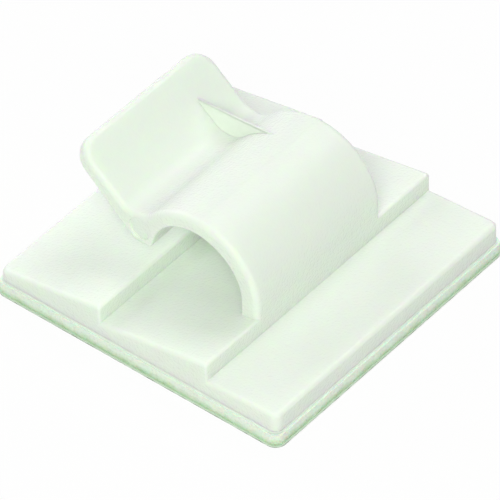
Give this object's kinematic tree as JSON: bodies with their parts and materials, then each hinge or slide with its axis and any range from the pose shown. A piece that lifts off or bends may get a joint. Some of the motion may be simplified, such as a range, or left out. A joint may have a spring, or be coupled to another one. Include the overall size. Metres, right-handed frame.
{
  "type": "adhesive cable clip",
  "caption": "Square adhesive-backed cable clip: a moulded hook with a flared tongue over a saw-toothed plate, on a foam pad with its release liner.",
  "frame": {"origin": "centre of the release liner's underside, which is the face that goes to the wall", "axes": "+Z away from the wall, +Y along the cable, +X across the plate from its low open edge towards the side where the hook stands"},
  "size_m": [0.0292, 0.0292, 0.0126],
  "materials": {
    "nylon": "translucent natural moulding with a fine etched satin surface",
    "foam": "closed-cell foam with a soft matte cut edge",
    "liner": "smooth coated sheet"
  },
  "bodies": {
    "root": {"clip": "nylon", "foam_pad": "foam", "release_liner": "liner"}
  },
  "joints": []
}
